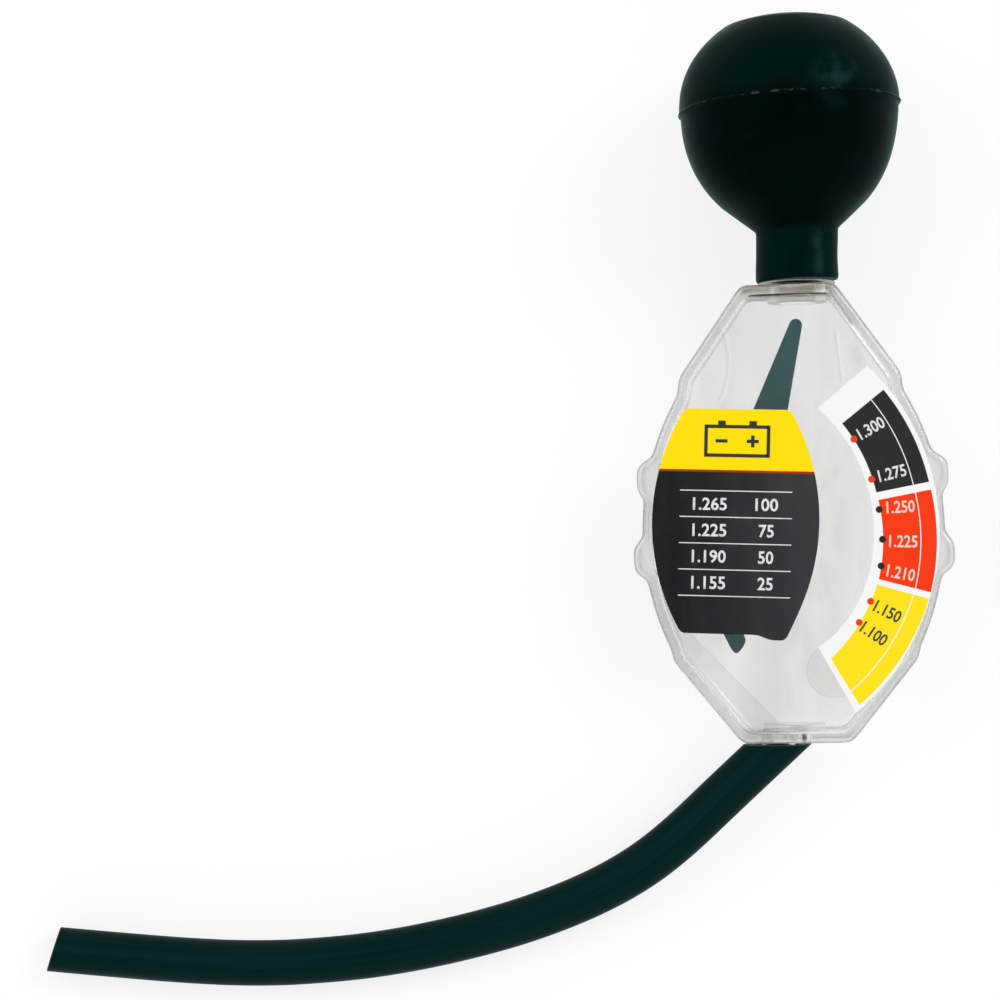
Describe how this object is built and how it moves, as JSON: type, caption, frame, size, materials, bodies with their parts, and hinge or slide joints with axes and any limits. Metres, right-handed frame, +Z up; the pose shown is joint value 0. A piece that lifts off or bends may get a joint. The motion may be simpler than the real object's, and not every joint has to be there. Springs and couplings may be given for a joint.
{
  "type": "battery hydrometer",
  "caption": "Battery hydrometer: rubber squeeze bulb on a clear flat case with a swinging pointer, a printed scale label and a short suction hose.",
  "frame": {"origin": "on the table, under the middle of the footprint of the case and the bulb, without the hose", "axes": "+Y from the case's foot towards the bulb, +Z up out of the case's front face (which leans 6.19 degrees back towards the foot), +X to the right of the front face"},
  "size_m": [0.1895, 0.1972, 0.0455],
  "materials": {
    "bulb_rubber": "smooth satin black rubber",
    "hose_rubber": "smooth dark green-black rubber",
    "clear_plastic": "clear glossy moulded plastic",
    "pointer_plastic": "dark teal moulded plastic",
    "ballast_brass": "turned brass",
    "pin_steel": "drawn stainless steel wire",
    "info_label_film": "glossy printed film",
    "scale_label_film": "glossy printed film"
  },
  "bodies": {
    "tool": {"bulb": "bulb_rubber", "front_cover": "clear_plastic", "back_cover": "clear_plastic", "bulb_spigot": "clear_plastic", "hose_nipple": "clear_plastic", "hose": "hose_rubber", "pivot_pin": "pin_steel", "stop_bracket": "pointer_plastic", "info_label": "info_label_film", "scale_label": "scale_label_film"},
    "pointer": {"needle": "pointer_plastic", "needle_ballast": "ballast_brass"}
  },
  "joints": [
    {"name": "pointer_swing", "type": "hinge", "parent": "tool", "child": "pointer", "pos_m": [-0.021, -0.03063, 0.01348], "axis": [0, -0.1078, 0.9942], "range_deg": [-112, 6]}
  ]
}
